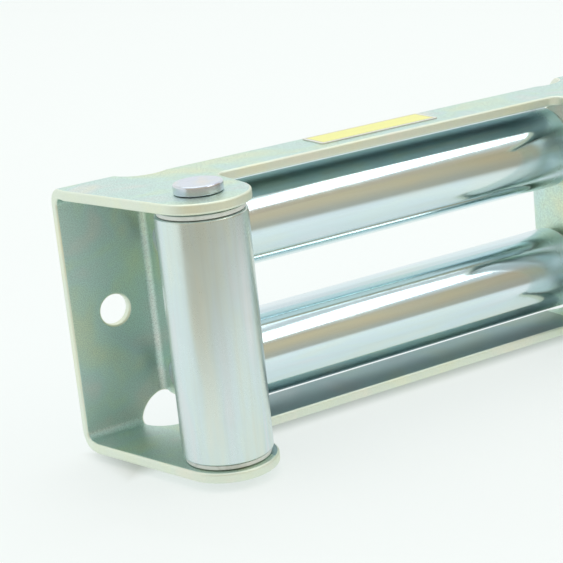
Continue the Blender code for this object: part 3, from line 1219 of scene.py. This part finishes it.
@dataclass
class RollerSet:
    """One roller with its bushes, pin and clip.

    The roller rests towards the pin's tail, `drop` short of the middle of its pin.
    """

    name: str
    axis: Axis
    roller: Roller
    pin: HeadedPin
    bush: FlangedBush
    clip: RetainingClip
    drop: float
    touch: float = 0.0003

    def placed(self, piece: Piece, along: float, flipped: bool) -> None:
        """Move a piece that was made about Z to its place on the roller's axis.

        Args:
            piece: The piece, its axis on Z.
            along: How far from the roller's middle towards the pin's head it sits.
            flipped: Whether it is turned end for end.
        """
        low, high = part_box(f"{self.name}_roller")
        laid_down = math.pi / 2 if self.axis is Axis.ACROSS else 0.0
        turn = Matrix.Rotation(laid_down, 4, "Y")
        shift = Matrix.Translation((0.0, 0.0, along))
        flip = Matrix.Rotation(math.pi if flipped else 0.0, 4, "X")
        piece.matrix_world = Matrix.Translation((low + high) / 2) @ turn @ shift @ flip
        settle(piece)

    def build(self, models: dict[tuple[str, Axis], Piece], finishes: Finishes) -> None:
        """Place the set's pieces, each a copy of its model.

        Args:
            models: The modelled pieces by kind and axis.
            finishes: The materials.
        """
        words = ("right", "left") if self.axis is Axis.ACROSS else ("top", "bottom")
        body = f"{self.name}_roller"
        clip_place = self.drop - self.pin.grip / 2 - self.touch - self.clip.thickness
        face = self.roller.length / 2 + self.touch + self.bush.flange
        rows = [
            ("roller", "roller", 0.0, False, body, "polished_steel", finishes.rollers[self.axis]),
            ("pin", "pin", self.drop, False, "frame", "pin_steel", finishes.pin),
            ("clip", "clip", clip_place, False, "frame", "spring_steel", finishes.clip),
        ]
        for word, end in zip(words, (1, -1)):
            rows.append((f"{word}_bush", "bush", end * face, end < 0, body, "grey_nylon",
                         finishes.bush))
        for suffix, kind, along, flipped, rides, slot, material in rows:
            piece = copied(models[kind, self.axis], f"{self.name}_{suffix}_fine")
            self.placed(piece, along, flipped)
            dress(piece, material)
            hand_over(piece, f"{self.name}_{suffix}", rides)


# The studio


@dataclass(frozen=True)
class Softbox:
    """A rectangular softbox that looks at the part.

    It stands `azimuth` degrees from the front towards the right and `elevation` degrees up,
    and is moved by `slide` along its width, to the right as it faces away.
    """

    name: str
    azimuth: float
    elevation: float
    distance: float
    width: float
    height: float
    watts: float
    slide: float = 0.0
    aim: Place = (0.0, 0.0, 0.06)

    def hang(self) -> None:
        """Hang the softbox."""
        lamp = bpy.data.lights.new(self.name, "AREA")
        lamp.shape = "RECTANGLE"
        lamp.size, lamp.size_y, lamp.energy = self.width, self.height, self.watts
        holder = bpy.data.objects.new(self.name, lamp)
        link_to_scene(holder)
        side, up = math.radians(self.azimuth), math.radians(self.elevation)
        out = Vector((math.sin(side) * math.cos(up), -math.cos(side) * math.cos(up), math.sin(up)))
        along = Vector((0.0, 0.0, 1.0)).cross(out).normalized()
        holder.location = Vector(self.aim) + out * self.distance + along * self.slide
        holder.rotation_mode = "QUATERNION"
        holder.rotation_quaternion = (-out).to_track_quat("-Z", "Y")


@dataclass(frozen=True)
class Floor:
    """The pale floor, which glows evenly like a light table, with a painted shadow that dims its
    glow and warms its paint close under the part.
    """

    half: float = 6.0
    divisions: int = 8
    part_half: float = 0.143
    part_middle: float = 0.0225
    part_depth: float = 0.0155
    glow_reach: float = 0.009
    glow: Colour = (0.61, 0.645, 0.635)
    painted_shadow_glow: Colour = (0.30, 0.33, 0.32)
    paint: Colour = (0.306, 0.312, 0.310)
    hazy_paint: Colour = (0.300, 0.306, 0.304)
    painted_shadow_paint: Colour = (0.34, 0.32, 0.27)
    haze_size: float = 1.5

    def lay(self) -> None:
        """Lay the floor."""
        deselect_everything()
        bpy.ops.mesh.primitive_grid_add(x_subdivisions=self.divisions,
                                        y_subdivisions=self.divisions, size=2 * self.half,
                                        location=(0.0, 0.0, 0.0))
        floor = bpy.context.object
        floor.name = "floor"
        material, nodes, shader = new_material("floor_paint")
        place = object_place(nodes)
        haze = nodes.noise(place, self.haze_size, detail=2.0)
        paint = nodes.mixed(haze, self.hazy_paint, self.paint)
        parts = nodes.parts(place)
        # Painted shadow: within the part's footprint the glow dims and the paint turns darker and
        # warmer, fading out over glow_reach
        past = [nodes.maths("SUBTRACT", nodes.maths("ABSOLUTE", value), half)
                for value, half in ((parts["X"], self.part_half),
                                    (nodes.maths("SUBTRACT", parts["Y"], self.part_middle),
                                     self.part_depth))]
        clear_of_painted_shadow = nodes.between(nodes.maths("MAXIMUM", *past), -self.glow_reach, self.glow_reach)
        nodes.fill(shader, Base_Color=nodes.mixed(clear_of_painted_shadow, self.painted_shadow_paint, paint),
                   Emission_Color=nodes.mixed(clear_of_painted_shadow, self.painted_shadow_glow, self.glow),
                   Emission_Strength=1.0, Roughness=0.7, Specular_IOR_Level=0.2)
        dress(floor, material)


@dataclass(frozen=True)
class Room:
    """The light from all sides: white walls behind the part and tan ones in front of it."""

    front_wall: Colour = (0.60, 0.49, 0.36)
    rear_wall: Colour = (0.98, 1.00, 0.99)
    front_ceiling: Colour = (0.66, 0.70, 0.70)
    rear_ceiling: Colour = (0.85, 0.88, 0.88)
    half_blend: float = 0.25
    walls_end: float = 0.45
    ceiling_starts: float = 0.60

    def light(self) -> None:
        """Light the room."""
        world = bpy.data.worlds.new("room")
        bpy.context.scene.world = world
        world.use_nodes = True
        nodes = Nodes(world.node_tree)
        parts = nodes.parts(nodes.add("TexCoord").outputs["Generated"])
        behind = nodes.between(parts["Y"], -self.half_blend, self.half_blend)
        wall = nodes.mixed(behind, self.front_wall, self.rear_wall)
        ceiling = nodes.mixed(behind, self.front_ceiling, self.rear_ceiling)
        upward = nodes.between(parts["Z"], self.walls_end, self.ceiling_starts)
        nodes.fill(world.node_tree.nodes["Background"], Color=nodes.mixed(upward, wall, ceiling),
                   Strength=1.0)


@dataclass(frozen=True)
class Cove:
    """A warm wall in front with a coved foot, seen only in the polished surfaces.

    `rings` are its (radius, height) from the foot up. It stands round the front, as far
    back as `rear`. The blends say between which distances its colours change.
    """

    rings: tuple[Point, ...] = ((0.17, 0.0015), (0.30, 0.002), (0.42, 0.004), (0.48, 0.02),
                                (0.50, 0.06), (0.50, 0.30))
    sides: int = 96
    rear: float = -0.05
    foot: Colour = (0.92, 0.955, 0.945)
    lower: Colour = (0.50, 0.47, 0.40)
    upper: Colour = (0.68, 0.56, 0.39)
    right_end: Colour = (0.28, 0.25, 0.18)
    right_strength: float = 0.55
    foot_blend: Point = (0.20, 0.44)
    rise_blend: Point = (0.0, 0.22)
    right_blend: Point = (0.24, 0.42)

    def stand(self) -> None:
        """Stand the wall."""
        wall = ring_of_edges("warm_wall", *self.rings[0], self.sides)
        with editing(wall):
            carry_on(self.rings)
            pick(wall, "FACE", lambda face: face.calc_center_median().y > self.rear)
            bpy.ops.mesh.delete(type="FACE")
        dress(wall, self.painted())
        wall.visible_camera = False
        wall.visible_diffuse = False
        wall.visible_shadow = False

    def painted(self) -> Material:
        """Return the wall's glowing paint."""
        material = bpy.data.materials.new("warm_wall_paint")
        material.use_nodes = True
        material.node_tree.nodes.clear()
        nodes = Nodes(material.node_tree)
        parts = nodes.parts(object_place(nodes))
        squares = [nodes.maths("MULTIPLY", parts[axis], parts[axis]) for axis in "XY"]
        away = nodes.maths("SQRT", nodes.maths("ADD", *squares))
        raised = nodes.between(parts["Z"], *self.rise_blend)
        sideways = nodes.between(parts["X"], *self.right_blend, 0.0, self.right_strength)
        tan = nodes.mixed(raised, self.lower, self.upper)
        tan = nodes.mixed(sideways, tan, self.right_end)
        shown = nodes.mixed(nodes.between(away, *self.foot_blend), self.foot, tan)
        glow = nodes.add("Emission", Color=shown, Strength=1.0)
        nodes.add("OutputMaterial", Surface=glow.outputs[0])
        return material


@dataclass(frozen=True)
class Camera:
    """The camera, where the photograph was taken, its turn in degrees."""

    place: Place = (-0.427973, -0.626465, 0.276687)
    turn: Place = (73.782982, 5.660969, -31.689442)
    lens: float = 112.6845
    sensor: float = 36.0
    image: int = 563

    def stand(self) -> None:
        """Stand the camera and look through it."""
        camera = bpy.data.objects.new("camera", bpy.data.cameras.new("camera"))
        link_to_scene(camera)
        camera.location = self.place
        camera.rotation_euler = tuple(math.radians(turn) for turn in self.turn)
        camera.data.sensor_width = self.sensor
        camera.data.lens = self.lens
        camera.data.shift_x = -0.5 / self.image
        camera.data.shift_y = 0.5 / self.image
        camera.data.dof.use_dof = False
        camera.data.clip_start, camera.data.clip_end = 0.01, 50.0
        bpy.context.scene.camera = camera


def build_studio() -> None:
    """Set up the floor, the lights, the room that the rollers mirror, and the camera."""
    Floor().lay()
    Room().light()
    Softbox("key_softbox", azimuth=65.3, elevation=46.8, distance=1.6, width=1.26, height=0.42,
            watts=3.9, slide=-0.69).hang()
    Softbox("overhead_softbox", azimuth=180.0, elevation=80.0, distance=2.2, width=2.4, height=2.4,
            watts=13.0).hang()
    Cove().stand()
    Camera().stand()
    bpy.context.scene.view_settings.view_transform = "Standard"
    LOG.info("studio: floor, room light, softboxes and camera")


def main() -> None:
    """Build the fairlead and its studio, and log each piece's face count."""
    logging.basicConfig(level=logging.INFO, format="%(name)s: %(message)s")
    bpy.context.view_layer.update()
    effects = SharedEffects()
    finishes = Finishes(effects)
    FoldedFrame().build(*finishes.plate)

    bush = FlangedBush()
    kinds = {
        Axis.UPRIGHT: (Roller(0.1020), HeadedPin(0.1165), bush, RetainingClip()),
        Axis.ACROSS: (Roller(0.2005, radius=0.0194),
                      HeadedPin(0.2162, groove_width=0.0014, tail=0.0025, tail_chamfer=0.0005),
                      bush, RetainingClip(thickness=0.0008, radius=0.00735, rim=0.0007)),
    }
    models = {(kind, axis): piece.modelled(f"model_{kind}_{axis.name}")
              for axis, pieces in kinds.items()
              for kind, piece in zip(("roller", "pin", "bush", "clip"), pieces)}
    for name in ("upper", "lower"):
        RollerSet(name, Axis.ACROSS, *kinds[Axis.ACROSS], LYING_DROP).build(models, finishes)
    for name in ("left", "right"):
        RollerSet(name, Axis.UPRIGHT, *kinds[Axis.UPRIGHT], UPRIGHT_DROP).build(models, finishes)
    for model in models.values():
        bpy.data.objects.remove(model, do_unlink=True)
    Sticker().build(effects)
    build_studio()


if __name__ == "__main__":
    main()
